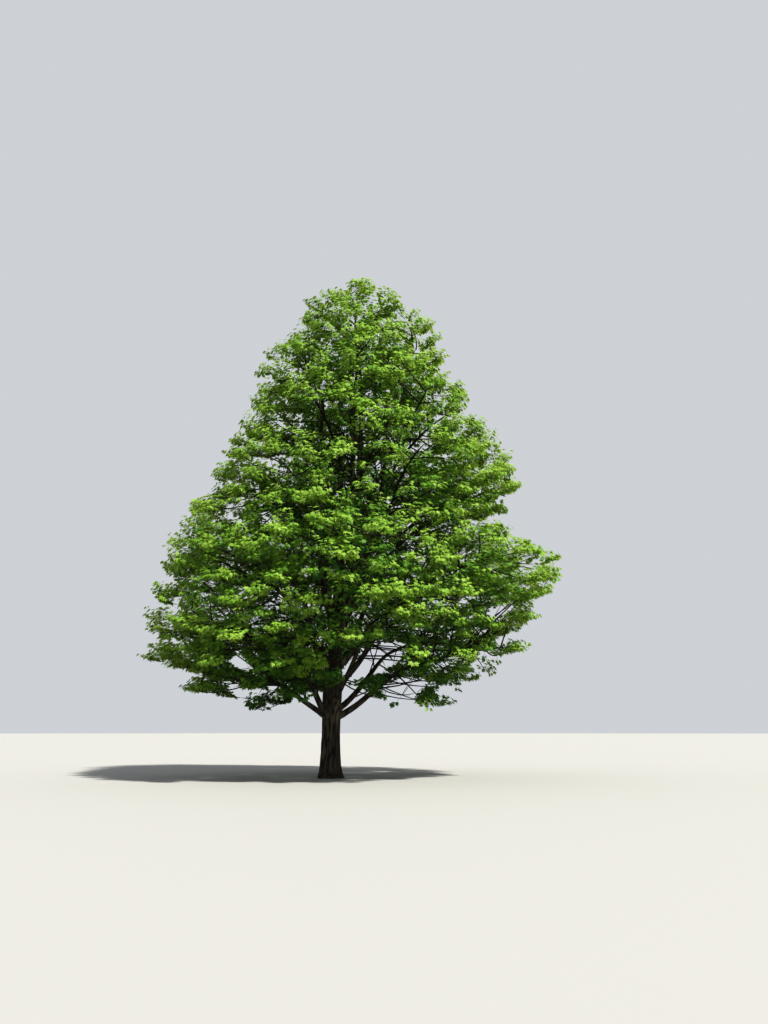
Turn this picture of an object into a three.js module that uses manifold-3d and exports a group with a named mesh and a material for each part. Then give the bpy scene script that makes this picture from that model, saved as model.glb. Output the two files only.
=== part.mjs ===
// A maple tree in full summer leaf: a stout trunk with a root flare, five leaders above its fork,
// tiers of spreading boughs, and a mass of foliage at the end of every limb.
// Millimetres, +Z up, ground level at Z = 0, +X to the right and +Y away from the viewer.
import * as THREE from "three";
import { mergeVertices } from "three/addons/utils/BufferGeometryUtils.js";
import Module from "manifold-3d";

const wasm = await Module();
wasm.setup();

const degrees = Math.PI / 180;
const up = new THREE.Vector3(0, 0, 1);
const facingGap = 0.3; // between two faces that meet
const mergeDistance = 1e-3;
const nearlyAlong = 0.8; // cosine past which one direction can't serve as the side of another
const nearlyParallel = 1e-9;
const halvings = 30;

const trunk = {
  forkHeight: 4300,
  radius: 332, // above the root flare
  taper: 60, // how much narrower its fork is, shoulder and crotch aside
  shoulder: 45, // how much wider it is where the boughs leave
  shoulderFrom: 1700,
  shoulderTo: 2900,
  crotch: 120, // how much it narrows just below its fork
  crotchFrom: 3300,
  flare: 125,
  flareHeight: 330,
  buttresses: 5,
  buttressShare: 0.3,
  lean: 110, // to the right, by the time it forks
  sides: 16,
  rings: 10,
  ringCrowding: 1.6, // above 1 the rings stand closer together near the ground
};

// Leaders run up from inside the trunk to the masses at the top. bulge is how far each one bows outwards.
const leaderShape = {
  rootHeight: 3650,
  leavingRise: 0.25, // of its height
  arrivingRise: 0.4,
  arrivingBulge: 0.6, // of its bulge
  sway: 110,
  tipRadius: 50,
  taperPower: 0.9,
  sides: 8,
  segments: 7,
};
const leaders = [
  { name: "leader_right", mass: "top_1", radius: 130, bulge: 450 },
  { name: "leader_back", mass: "top_2", radius: 130, bulge: 450 },
  { name: "leader_left", mass: "top_3", radius: 135, bulge: 200 },
  { name: "leader_front", mass: "top_4", radius: 130, bulge: 450 },
  { name: "leader_centre", mass: "peak_1", radius: 175, bulge: 550 },
];

// Each tier is a ring of foliage masses. height and reach are those of a mass's middle and outer edge,
// half its half sizes outwards, sideways and upwards, and pitch the slope of its stem. The ring's middle
// stands shift to the right of the trunk's foot, and its front and back are raised by lift.
// rootLow and rootHigh are the heights at which its boughs leave the trunk, or a leader above the fork.
const tiers = [
  {
    name: "low",
    count: 6,
    heading: 350,
    height: 3500,
    reach: 6600,
    shift: 500,
    lift: 1600,
    half: [2450, 2800, 1700],
    pitch: 14,
    rootLow: 1750,
    rootHigh: 2600,
    rise: 16,
    radius: 118,
  },
  {
    name: "broad",
    count: 7,
    heading: 15,
    height: 6900,
    reach: 7350,
    shift: 750,
    lift: 300,
    half: [2500, 2500, 1700],
    pitch: 18,
    rootLow: 2900,
    rootHigh: 3900,
    rise: 40,
    radius: 112,
  },
  {
    name: "middle",
    count: 6,
    heading: 358,
    height: 9600,
    reach: 6000,
    shift: 1250,
    lift: 0,
    half: [2450, 2400, 1800],
    pitch: 36,
    rootLow: 4900,
    rootHigh: 6000,
    rise: 55,
    radius: 92,
  },
  {
    name: "upper",
    count: 5,
    heading: 20,
    height: 12250,
    reach: 4850,
    shift: 1050,
    lift: 0,
    half: [2250, 2400, 1800],
    pitch: 50,
    rootLow: 7600,
    rootHigh: 9000,
    rise: 60,
    radius: 72,
  },
  {
    name: "top",
    count: 4,
    heading: 5,
    height: 14500,
    reach: 3700,
    shift: 750,
    lift: 0,
    half: [1950, 2100, 1700],
    pitch: 64,
  },
  {
    name: "peak",
    count: 1,
    heading: 0,
    height: 16300,
    reach: 2250,
    shift: 900,
    lift: 0,
    half: [2250, 2250, 1650],
    pitch: 90,
  },
];
const tierScatter = { heading: 6, height: 250 }; // degrees and millimetres, each way

// Boughs leave the trunk or a leader at their tier's slope, and arrive along the stem of their mass.
const boughShape = {
  leavingShare: 0.36, // of the straight run
  arrivingShare: 0.33,
  riseScatter: 5,
  sway: 130,
  swayUp: 80,
  radiusScatter: [0.88, 1.1],
  tipRadius: 50,
  taperPower: 0.8,
  sides: 5,
  segments: 5,
};

// A mass is one stem with opposite pairs of twigs, each pair turned against the one before it.
const massShape = {
  inlet: 0.66, // share of the way from the middle to the edge at which the stem starts
  outlet: 0.6,
  stemArch: 0.08, // of the mass's half height
  stemSides: 4,
  stemSegments: 2,
  stemShare: 0.85, // of the radius of the limb's end
  stemTip: 36,
  rootDepth: 25, // how far inside its limb the stem starts before it is cut
  pairs: 3,
  firstPair: 0.14,
  lastPair: 0.9,
  pairTurns: [22, 65], // degrees out of level
  turnScatter: 17,
  forward: [0.25, 0.7],
  leafRoom: 0.86, // of a leaf's length, left between a level twig's tip and the edge
  leafRoomUp: 0.45,
  lengthScatter: [0.86, 1],
  twigSides: 3,
  twigRadius: 22,
  twigTip: 18,
  shortestTwig: 240,
  joinShare: 0.2, // of a twig's length, beside the stem, that may pass close to a limb
};

// A leaf is a flat kite that stands for a whole spray, so it is drawn larger than life.
const leafShape = {
  length: 1800,
  width: 1600,
  thickness: 64,
  belly: 0.6, // share of the length at which it is widest
  sizeScatter: [0.86, 1.12],
  droop: [0.25, 1.25],
  faceUp: [0.5, 0.9],
  faceOut: [0.6, 1.3],
  faceAcross: [-0.35, 0.35],
  pairsAt: [0.7, 0.3], // shares of a twig's length
  rootDepth: 60, // how far a leaf at the tip of a twig or stem is sunk in it
  stagger: 0.07, // how far along the twig the two leaves of a pair stand apart, each way
  endPairDepth: 2.5, // of the root depth, on a stem, and its two leaves stand half a depth to each side
  forward: 0.6,
  attempts: 8,
};
const limbClearance = 30; // between a limb and the twigs and leaves of any mass
const spaceMargin = 0.04; // how much nearer its own mass's middle a leaf stands than any other's
const reachOver = 1.45; // depth at which leaf corners end: a mass's middle has depth 0 and its edge 1

const seeds = { masses: 7, boughs: 31, twigs: 900, leaves: 4900 };
const colours = { bark: 0x4b4038, leaf: 0x4f8f1c };

// A small seeded generator, so that every run grows the same tree.
function seeded(seed) {
  let state = Math.imul(seed + 1, 2654435761) >>> 0;
  const next = () => {
    state = (Math.imul(state, 1664525) + 1013904223) >>> 0;
    return state / 4294967296;
  };
  next();
  next();
  return (low, high) => low + (high - low) * next();
}

const mix = (a, b, t) => a + (b - a) * t;

const mixPoints = (a, b, t) => a.clone().lerp(b, t);

const clamp = (x) => Math.min(1, Math.max(0, x));

function smooth(low, high, value) {
  const t = clamp((value - low) / (high - low));
  return t * t * (3 - 2 * t);
}

const headingVector = (heading) =>
  new THREE.Vector3(Math.cos(heading * degrees), Math.sin(heading * degrees), 0);

// A cubic bend that sways like an S and ends where the bend does.
class LimbCurve extends THREE.Curve {
  constructor(start, leaving, arriving, end, sway) {
    super();
    this.bend = new THREE.CubicBezierCurve3(start, leaving, arriving, end);
    this.sway = sway;
  }

  getPoint(t, target = new THREE.Vector3()) {
    this.bend.getPoint(t, target);
    return target.addScaledVector(this.sway, Math.sin(2 * Math.PI * t) * (1 - t));
  }
}

// Turns a geometry with merged corners into a solid that can be joined and cut.
function solidOf(geometry) {
  geometry.deleteAttribute("normal");
  geometry.deleteAttribute("uv");
  const merged = mergeVertices(geometry, mergeDistance);
  return new wasm.Manifold(
    new wasm.Mesh({
      numProp: 3,
      vertProperties: new Float32Array(merged.attributes.position.array),
      triVerts: new Uint32Array(merged.index.array),
    }),
  );
}

function geometryOf(solid) {
  const mesh = solid.getMesh();
  const geometry = new THREE.BufferGeometry();
  geometry.setAttribute("position", new THREE.BufferAttribute(mesh.vertProperties, 3));
  geometry.setIndex(new THREE.BufferAttribute(mesh.triVerts, 1));
  const facets = geometry.toNonIndexed();
  facets.computeVertexNormals();
  return facets;
}

const touching = (a, b) => !a.intersect(b).isEmpty();

// The largest shell of a solid: loose scraps are dropped and sealed hollows are filled.
function largestShell(solid) {
  const shells = solid.decompose();
  return shells.reduce((best, shell) => (shell.volume() > best.volume() ? shell : best));
}

// Bends an upright unit cylinder: place(t, angle, share) gives the point at height t.
function bentCylinder(sides, segments, place) {
  const geometry = new THREE.CylinderGeometry(1, 1, 1, sides, segments);
  const corners = geometry.attributes.position;
  const corner = new THREE.Vector3();
  for (let i = 0; i < corners.count; i++) {
    corner.fromBufferAttribute(corners, i);
    const share = Math.hypot(corner.x, corner.z);
    const point = place(corner.y + 0.5, Math.atan2(corner.z, corner.x), share);
    corners.setXYZ(i, point.x, point.y, point.z);
  }
  return solidOf(geometry);
}

// A limb: a curve, a direction square to the plane that it mostly lies in, and its radius along it.
function limbSolid({ curve, across, radiusAt, sides, segments }, growth = 0) {
  return bentCylinder(sides, segments, (t, angle, share) => {
    const along = curve.getTangent(t);
    const side = across.clone().addScaledVector(along, -across.dot(along)).normalize();
    const rise = new THREE.Vector3().crossVectors(side, along);
    const radius = share * (radiusAt(t) + growth);
    return curve
      .getPoint(t)
      .addScaledVector(along, growth * (2 * t - 1))
      .addScaledVector(side, radius * Math.cos(angle))
      .addScaledVector(rise, radius * Math.sin(angle));
  });
}

const trunkLean = (z) => trunk.lean * (z / trunk.forkHeight) ** 2;

const trunkMiddle = (z) => new THREE.Vector3(trunkLean(z), 0, z);

function trunkRadius(z, angle) {
  const lobes = 1 + trunk.buttressShare * Math.cos(trunk.buttresses * angle);
  return (
    trunk.radius -
    trunk.taper * (z / trunk.forkHeight) +
    trunk.shoulder * smooth(trunk.shoulderFrom, trunk.shoulderTo, z) -
    trunk.crotch * smooth(trunk.crotchFrom, trunk.forkHeight, z) +
    trunk.flare * lobes * Math.exp(-z / trunk.flareHeight)
  );
}

// The trunk, from its flat cut at the ground to its fork.
function trunkSolid(growth = 0) {
  return bentCylinder(trunk.sides, trunk.rings, (t, angle, share) => {
    const z = trunk.forkHeight * t ** trunk.ringCrowding;
    const radius = share * (trunkRadius(z, angle) + growth);
    const offset = new THREE.Vector3(radius * Math.cos(angle), -radius * Math.sin(angle), growth * t);
    return trunkMiddle(z).add(offset);
  });
}

// Where each mass stands: its middle, its directions outwards and across, and the ends of its stem.
function planMasses() {
  const random = seeded(seeds.masses);
  const masses = [];
  for (const tier of tiers) {
    const scatter = tier.count > 1 ? 1 : 0;
    for (let i = 0; i < tier.count; i++) {
      const turn = scatter * random(-tierScatter.heading, tierScatter.heading);
      const lift = scatter * random(-tierScatter.height, tierScatter.height);
      const out = headingVector(tier.heading + (360 * i) / tier.count + turn);
      const middle = out.clone().multiplyScalar(tier.reach - tier.half[0]);
      middle.x += tier.shift;
      middle.z = tier.height + tier.lift * Math.abs(out.y) + lift;
      const slope = out.clone().multiplyScalar(tier.half[0] * Math.cos(tier.pitch * degrees));
      slope.addScaledVector(up, tier.half[2] * Math.sin(tier.pitch * degrees));
      masses.push({
        name: tier.name + "_" + (i + 1),
        number: masses.length,
        tier,
        out,
        across: new THREE.Vector3().crossVectors(up, out),
        middle,
        inlet: middle.clone().addScaledVector(slope, -massShape.inlet),
        outlet: middle.clone().addScaledVector(slope, massShape.outlet),
      });
    }
  }
  return masses;
}

// A point as seen from a mass, in its half sizes: its edge is an egg of radius 1.
function inHalves(mass, offset) {
  const [outHalf, acrossHalf, upHalf] = mass.tier.half;
  return new THREE.Vector3(
    offset.dot(mass.out) / outHalf,
    offset.dot(mass.across) / acrossHalf,
    offset.z / upHalf,
  );
}

const depthIn = (mass, point) => inHalves(mass, point.clone().sub(mass.middle)).lengthSq();

// A mass's own space reaches up to where another mass's middle is nearer.
function inOwnSpace(mass, masses, point) {
  const own = depthIn(mass, point);
  const nearer = (other) => other !== mass && depthIn(other, point) <= own + spaceMargin;
  return own < reachOver && !masses.some(nearer);
}

// How far it is from a point inside a mass to its edge, in one direction.
function roomAhead(mass, from, direction) {
  const start = inHalves(mass, from.clone().sub(mass.middle));
  const step = inHalves(mass, direction);
  const a = step.lengthSq();
  const b = start.dot(step);
  const c = start.lengthSq() - 1;
  return (Math.sqrt(Math.max(0, b * b - a * c)) - b) / a;
}

// The shortest distance between two straight pieces, one from a to b and the other from c to d.
function pieceGap(a, b, c, d) {
  const u = b.clone().sub(a);
  const v = d.clone().sub(c);
  const w = a.clone().sub(c);
  const uv = u.dot(v);
  const uw = u.dot(w);
  const spread = u.lengthSq() * v.lengthSq() - uv * uv;
  const first = spread > nearlyParallel ? clamp((uv * v.dot(w) - v.lengthSq() * uw) / spread) : 0;
  const t = clamp((uv * first + v.dot(w)) / v.lengthSq());
  const s = clamp((uv * t - uw) / u.lengthSq());
  return w.addScaledVector(u, s).addScaledVector(v, -t).length();
}

function clearOfLimbs(limbs, from, to, clearance) {
  const clearOf = ({ stations }) =>
    stations.slice(1).every((station, i) => {
      const before = stations[i];
      return pieceGap(from, to, before.point, station.point) > before.radius + clearance;
    });
  return limbs.every(clearOf);
}

// A leaf faces the sky and the outside, and hangs a little.
function leafAt(root, axis, mass, random) {
  const along = axis.clone();
  along.z -= random(...leafShape.droop);
  along.normalize();
  const face = up.clone().multiplyScalar(random(...leafShape.faceUp));
  face.addScaledVector(mass.out, random(...leafShape.faceOut));
  face.addScaledVector(mass.across, random(...leafShape.faceAcross));
  face.addScaledVector(along, -face.dot(along)).normalize();
  const side = new THREE.Vector3().crossVectors(along, face);
  return { root, along, face, side, size: random(...leafShape.sizeScatter) };
}

// x runs from -1 to 1 across the leaf, y from its root at -1 to its tip at 1, and z from back to face.
function leafCorner(leaf, x, y, z) {
  const share = y === 0 ? leafShape.belly : (y + 1) / 2;
  return leaf.root
    .clone()
    .addScaledVector(leaf.along, share * leaf.size * leafShape.length)
    .addScaledVector(leaf.side, (x / 2) * leaf.size * leafShape.width)
    .addScaledVector(leaf.face, (z / 2) * leafShape.thickness);
}

function leafFits(leaf, mass, masses, limbs) {
  const root = leafCorner(leaf, 0, -1, 0);
  const tip = leafCorner(leaf, 0, 1, 0);
  const left = leafCorner(leaf, -1, 0, 0);
  const right = leafCorner(leaf, 1, 0, 0);
  const lines = [
    [root, left],
    [left, tip],
    [tip, right],
    [right, root],
    [root, tip],
    [left, right],
  ];
  const places = [tip, left, right, ...lines.map(([a, b]) => mixPoints(a, b, 0.5))];
  return (
    places.every((place) => inOwnSpace(mass, masses, place)) &&
    lines.every(([a, b]) => clearOfLimbs(limbs, a, b, limbClearance))
  );
}

// A flattened octahedron, its corners moved to those of the leaf.
function leafSolid(leaf) {
  const geometry = new THREE.OctahedronGeometry(1);
  const corners = geometry.attributes.position;
  for (let i = 0; i < corners.count; i++) {
    const [x, y, z] = [corners.getX(i), corners.getY(i), corners.getZ(i)].map(Math.round);
    const point = leafCorner(leaf, x, y, z);
    corners.setXYZ(i, point.x, point.y, point.z);
  }
  return solidOf(geometry);
}

// The stem runs on from the limb's end. It starts a little inside it, where it is cut clear later.
function growStem(limb) {
  const { mass } = limb;
  const depth = massShape.rootDepth / mass.inlet.distanceTo(mass.outlet);
  const start = mixPoints(mass.inlet, mass.outlet, -depth);
  const crest = mixPoints(mass.inlet, mass.outlet, 0.5);
  crest.z += massShape.stemArch * mass.tier.half[2];
  return {
    curve: new THREE.QuadraticBezierCurve3(start, crest, mass.outlet),
    across: mass.across,
    radiusAt: (t) => mix(massShape.stemShare * limb.radiusAt(1), massShape.stemTip, t),
    sides: massShape.stemSides,
    segments: massShape.stemSegments,
  };
}

function twigFrom(root, direction, length, across) {
  const tip = root.clone().addScaledVector(direction, length);
  return {
    root,
    tip,
    direction,
    curve: new THREE.LineCurve3(root, tip),
    across: Math.abs(direction.dot(across)) > nearlyAlong ? up : across,
    radiusAt: (t) => mix(massShape.twigRadius, massShape.twigTip, t),
    sides: massShape.twigSides,
    segments: 1,
  };
}

// Pairs of twigs up the stem. One with no room for its length is only a place for a leaf, and one that
// would leave the mass's own space or touch a limb is skipped.
function growTwigs(mass, stem, masses, limbs) {
  const random = seeded(seeds.twigs + mass.number);
  const twigs = [];
  const buds = [];
  for (let pair = 0; pair < massShape.pairs; pair++) {
    const t = mix(massShape.firstPair, massShape.lastPair, pair / (massShape.pairs - 1));
    const root = stem.curve.getPoint(t);
    const along = stem.curve.getTangent(t);
    const upright = new THREE.Vector3().crossVectors(along, mass.across);
    const scatter = random(-massShape.turnScatter, massShape.turnScatter);
    const turn = (massShape.pairTurns[pair % 2] + scatter) * degrees;
    for (const hand of [-1, 1]) {
      const direction = along
        .clone()
        .multiplyScalar(random(...massShape.forward))
        .addScaledVector(mass.across, hand * Math.cos(turn))
        .addScaledVector(upright, -hand * Math.sin(turn))
        .normalize();
      const climb = Math.max(0, direction.z);
      const leafRoom = leafShape.length * mix(massShape.leafRoom, massShape.leafRoomUp, climb);
      const room = roomAhead(mass, root, direction) - leafRoom;
      const length = room * random(...massShape.lengthScatter);
      if (length < massShape.shortestTwig) {
        buds.push({ root, direction });
        continue;
      }
      const twig = twigFrom(root, direction, length, mass.across);
      const joinEnd = mixPoints(root, twig.tip, massShape.joinShare);
      const free =
        inOwnSpace(mass, masses, twig.tip) &&
        inOwnSpace(mass, masses, mixPoints(root, twig.tip, 0.5)) &&
        clearOfLimbs(limbs, joinEnd, twig.tip, limbClearance + massShape.twigRadius);
      if (free) twigs.push(twig);
    }
  }
  return { twigs, buds };
}

// Where leaves start, always inside the wood: one at each twig's tip with pairs behind it, one for each
// bud, and one at the stem's end with a pair behind it.
function leafPlaces(mass, stem, twigs, buds) {
  const places = [];
  const addPair = (rootOn, ahead, sideways, twig) => {
    for (const hand of [-1, 1]) {
      const direction = ahead.clone().multiplyScalar(leafShape.forward).addScaledVector(sideways, hand);
      places.push({ root: rootOn(hand), direction, twig });
    }
  };
  for (const twig of twigs) {
    const sideways = new THREE.Vector3().crossVectors(twig.direction, up).normalize();
    const root = twig.tip.clone().addScaledVector(twig.direction, -leafShape.rootDepth);
    places.push({ root, direction: twig.direction, twig });
    for (const share of leafShape.pairsAt) {
      const rootOn = (hand) => mixPoints(twig.root, twig.tip, share + hand * leafShape.stagger);
      addPair(rootOn, twig.direction, sideways, twig);
    }
  }
  places.push(...buds);
  const onward = stem.curve.getTangent(1);
  const stemBack = (depth) => stem.curve.getPoint(1).addScaledVector(onward, -depth);
  places.push({ root: stemBack(leafShape.rootDepth), direction: onward });
  const endPair = (hand) => stemBack((leafShape.endPairDepth + hand / 2) * leafShape.rootDepth);
  addPair(endPair, onward, mass.across);
  return places;
}

// A leaf is tried a few times at its place. One that would leave the mass's own space or touch a limb, a
// leaf or another twig is skipped.
function growLeaves(mass, stem, twigs, buds, masses, limbs) {
  const random = seeded(seeds.leaves + mass.number);
  const leaves = [];
  for (const { root, direction, twig } of leafPlaces(mass, stem, twigs, buds))
    for (let attempt = 0; attempt < leafShape.attempts; attempt++) {
      const leaf = leafAt(root, direction, mass, random);
      if (!leafFits(leaf, mass, masses, limbs)) continue;
      const solid = leafSolid(leaf);
      const others = twigs.filter((other) => other !== twig);
      if (twig) others.push(stem);
      if (others.some((other) => touching(other.solid, solid))) continue;
      if (leaves.some((other) => touching(other, solid))) continue;
      leaves.push(solid);
      break;
    }
  return leaves;
}

// A mass fused into one solid, its stem cut so that it starts just clear of its limb's end.
function massSolid(limb, masses, limbs) {
  const { mass } = limb;
  const stem = growStem(limb);
  const { twigs, buds } = growTwigs(mass, stem, masses, limbs);
  for (const piece of [stem, ...twigs]) piece.solid = limbSolid(piece);
  const leaves = growLeaves(mass, stem, twigs, buds, masses, limbs);
  let { solid } = stem;
  for (const twig of twigs) solid = solid.add(twig.solid);
  for (const leaf of leaves) solid = solid.add(leaf);
  return largestShell(solid.subtract(limbSolid(limb, facingGap)));
}

// A limb runs from inside its host to the inlet of its mass. Twigs and leaves keep clear of its stations.
function makeLimb(name, mass, curve, across, rootRadius, shape) {
  const radiusAt = (t) => mix(rootRadius, shape.tipRadius, t ** shape.taperPower);
  const stations = [];
  for (let i = 0; i <= shape.segments; i++) {
    const t = i / shape.segments;
    stations.push({ point: curve.getPoint(t), radius: radiusAt(t) });
  }
  return { name, mass, curve, across, radiusAt, stations, sides: shape.sides, segments: shape.segments };
}

function planLeaders(masses) {
  return leaders.map(({ name, mass: massName, radius, bulge }) => {
    const mass = masses.find((candidate) => candidate.name === massName);
    const start = trunkMiddle(leaderShape.rootHeight);
    const outwards = mass.inlet.clone().sub(start).setZ(0).normalize();
    const height = mass.inlet.z - start.z;
    const leaving = start.clone().addScaledVector(outwards, bulge);
    leaving.z += leaderShape.leavingRise * height;
    const arriving = mass.inlet.clone().addScaledVector(outwards, leaderShape.arrivingBulge * bulge);
    arriving.z -= leaderShape.arrivingRise * height;
    const across = new THREE.Vector3().crossVectors(up, outwards);
    const sway = across.clone().multiplyScalar(leaderShape.sway);
    const curve = new LimbCurve(start, leaving, arriving, mass.inlet, sway);
    return makeLimb(name, mass, curve, across, radius, leaderShape);
  });
}

// The point of a leader at one height, found by halving.
function pointAtHeight({ curve }, height) {
  let low = 0;
  let high = 1;
  for (let i = 0; i < halvings; i++) {
    const middle = (low + high) / 2;
    if (curve.getPoint(middle).z < height) low = middle;
    else high = middle;
  }
  return curve.getPoint(low);
}

// Above the fork a bough starts in the leader that stands furthest out on the bough's own side.
function boughStart(mass, height, leaderLimbs) {
  if (height < trunk.forkHeight) return trunkMiddle(height);
  const starts = leaderLimbs.map((leader) => pointAtHeight(leader, height));
  return starts.reduce((best, point) => (point.dot(mass.out) > best.dot(mass.out) ? point : best));
}

function planBoughs(masses, leaderLimbs) {
  const random = seeded(seeds.boughs);
  const bearing = masses.filter((mass) => mass.tier.rise);
  return bearing.map((mass) => {
    const { tier } = mass;
    const start = boughStart(mass, random(tier.rootLow, tier.rootHigh), leaderLimbs);
    const run = mass.inlet.clone().sub(start);
    const outwards = run.clone().setZ(0).normalize();
    const rise = (tier.rise + random(-boughShape.riseScatter, boughShape.riseScatter)) * degrees;
    const reach = boughShape.leavingShare * run.length();
    const leaving = start.clone().addScaledVector(outwards, reach * Math.cos(rise));
    leaving.z += reach * Math.sin(rise);
    const arrival = mass.outlet.clone().sub(mass.inlet).normalize();
    const arriving = mass.inlet.clone();
    arriving.addScaledVector(arrival, -boughShape.arrivingShare * run.length());
    const across = new THREE.Vector3().crossVectors(up, outwards);
    const sway = across.clone().multiplyScalar(random(-boughShape.sway, boughShape.sway));
    sway.z += random(-boughShape.swayUp, boughShape.swayUp);
    const curve = new LimbCurve(start, leaving, arriving, mass.inlet, sway);
    const radius = tier.radius * random(...boughShape.radiusScatter);
    return makeLimb("bough_" + mass.name, mass, curve, across, radius, boughShape);
  });
}

// Cuts each limb clear of the trunk and of the limbs before it, so that it starts on their surface.
function cutLimbs(limbs) {
  const grown = [trunkSolid(facingGap)];
  return limbs.map((limb) => {
    let solid = limbSolid(limb);
    for (const other of grown)
      if (touching(solid, other)) solid = largestShell(solid.subtract(other));
    grown.push(limbSolid(limb, facingGap));
    return solid;
  });
}

const barkFinish = new THREE.MeshStandardMaterial({
  color: colours.bark,
  roughness: 0.95,
  metalness: 0,
});
const leafFinish = new THREE.MeshStandardMaterial({
  color: colours.leaf,
  roughness: 0.6,
  metalness: 0,
});

function namedMesh(name, solid, finish) {
  const mesh = new THREE.Mesh(geometryOf(solid), finish);
  mesh.name = name;
  return mesh;
}

function buildTree() {
  const masses = planMasses();
  const leaderLimbs = planLeaders(masses);
  const limbs = [...leaderLimbs, ...planBoughs(masses, leaderLimbs)];
  const frame = new THREE.Group();
  const crown = new THREE.Group();
  frame.add(namedMesh("trunk", trunkSolid(), barkFinish));
  cutLimbs(limbs).forEach((solid, i) => frame.add(namedMesh(limbs[i].name, solid, barkFinish)));
  for (const limb of limbs) {
    const solid = massSolid(limb, masses, limbs);
    crown.add(namedMesh("foliage_" + limb.mass.name, solid, leafFinish));
  }
  const tree = new THREE.Group();
  tree.add(frame, crown);
  return tree;
}

export default buildTree();
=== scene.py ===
# A maple tree in full summer leaf, finished over its CAD frame. Metres, +Z up, ground level at Z = 0.
import math

import bpy
import numpy as np
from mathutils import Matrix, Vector, noise


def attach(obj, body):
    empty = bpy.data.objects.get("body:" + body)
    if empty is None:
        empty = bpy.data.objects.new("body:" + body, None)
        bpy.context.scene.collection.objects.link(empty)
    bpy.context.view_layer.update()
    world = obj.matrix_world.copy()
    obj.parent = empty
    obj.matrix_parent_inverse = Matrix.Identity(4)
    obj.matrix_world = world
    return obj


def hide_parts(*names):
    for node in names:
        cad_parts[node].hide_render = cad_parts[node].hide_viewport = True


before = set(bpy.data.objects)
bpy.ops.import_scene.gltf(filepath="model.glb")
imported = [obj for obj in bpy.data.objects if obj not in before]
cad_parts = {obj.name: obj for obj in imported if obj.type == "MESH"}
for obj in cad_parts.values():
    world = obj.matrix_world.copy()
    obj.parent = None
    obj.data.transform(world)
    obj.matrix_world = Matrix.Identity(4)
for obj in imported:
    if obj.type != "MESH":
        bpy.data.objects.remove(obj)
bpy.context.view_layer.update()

massNodes = sorted(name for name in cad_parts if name.startswith("foliage"))
degree = math.pi / 180
upward = np.array([0.0, 0.0, 1.0])
print("frame loaded:", len(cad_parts), "nodes,", len(massNodes), "of them masses")


# The skeleton: the solids' own rule, sizes and seeds

trunkShape = {
    "forkHeight": 4.3, "lean": 0.11,
    "radius": 0.332, "taper": 0.06,  # above the root flare
    "shoulder": 0.045, "shoulderFrom": 1.7, "shoulderTo": 2.9,  # wider where the boughs leave
    "crotch": 0.12, "crotchFrom": 3.3,  # narrower just below the fork
    "flare": 0.125, "flareHeight": 0.33,
    "buttresses": 5, "buttressShare": 0.3,
}

leaderShape = {
    "rootHeight": 3.65,
    "leavingRise": 0.25, "arrivingRise": 0.4, "arrivingBulge": 0.6,
    "sway": 0.11, "tipRadius": 0.05, "taperPower": 0.9,
}

leaders = [  # name, mass, radius, and how far it bows outwards
    ("leader_right", "top_1", 0.13, 0.45),
    ("leader_back", "top_2", 0.13, 0.45),
    ("leader_left", "top_3", 0.135, 0.2),
    ("leader_front", "top_4", 0.13, 0.45),
    ("leader_centre", "peak_1", 0.175, 0.55),
]

# rings of foliage masses, from the lowest up, with half their sizes outwards, sideways and upwards,
# and the heights where their boughs are rooted
tierColumns = ("name", "count", "heading", "height", "reach", "shift", "lift", "half", "pitch",
               "roots", "rise", "radius")
tierRows = [
    ("low", 6, 350, 3.5, 6.6, 0.5, 1.6, (2.45, 2.8, 1.7), 14, (1.75, 2.6), 16, 0.118),
    ("broad", 7, 15, 6.9, 7.35, 0.75, 0.3, (2.5, 2.5, 1.7), 18, (2.9, 3.9), 40, 0.112),
    ("middle", 6, 358, 9.6, 6.0, 1.25, 0, (2.45, 2.4, 1.8), 36, (4.9, 6.0), 55, 0.092),
    ("upper", 5, 20, 12.25, 4.85, 1.05, 0, (2.25, 2.4, 1.8), 50, (7.6, 9.0), 60, 0.072),
    ("top", 4, 5, 14.5, 3.7, 0.75, 0, (1.95, 2.1, 1.7), 64, None, 0, 0),
    ("peak", 1, 0, 16.3, 2.25, 0.9, 0, (2.25, 2.25, 1.65), 90, None, 0, 0),
]
tiers = [dict(zip(tierColumns, row)) for row in tierRows]
tierScatter = {"heading": 6, "height": 0.25}

boughShape = {
    "leavingShare": 0.36, "arrivingShare": 0.33,
    "riseScatter": 5, "sway": 0.13, "swayUp": 0.08,
    "radiusScatter": (0.88, 1.1), "tipRadius": 0.05, "taperPower": 0.8,
}

massShape = {
    "inlet": 0.66, "outlet": 0.6, "stemArch": 0.08,
    "pairs": 3, "firstPair": 0.14, "lastPair": 0.9,
    "pairTurns": (22, 65), "turnScatter": 17,
    "forward": (0.25, 0.7), "lengthScatter": (0.86, 1),
}

seeds = {"masses": 7, "boughs": 31, "twigs": 900, "sprays": 12, "leaves": 5, "tones": 8}


def seeded(seed):
    state = ((seed + 1) * 2654435761) & 0xFFFFFFFF

    def draw(low, high):
        nonlocal state
        state = (state * 1664525 + 1013904223) & 0xFFFFFFFF
        return low + (high - low) * state / 4294967296

    draw(0, 1)
    draw(0, 1)
    return draw


def mix(a, b, t):
    return a + (b - a) * t


def lengthOf(vectors):
    return np.linalg.norm(vectors, axis=-1)


def unit(vectors):
    return vectors / np.linalg.norm(vectors, axis=-1, keepdims=True)


def dot(a, b):
    return np.sum(a * b, axis=-1, keepdims=True)


def smooth(low, high, value):
    t = np.clip((value - low) / (high - low), 0, 1)
    return t * t * (3 - 2 * t)


def headingVector(heading):
    return np.array([math.cos(heading * degree), math.sin(heading * degree), 0.0])


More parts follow.
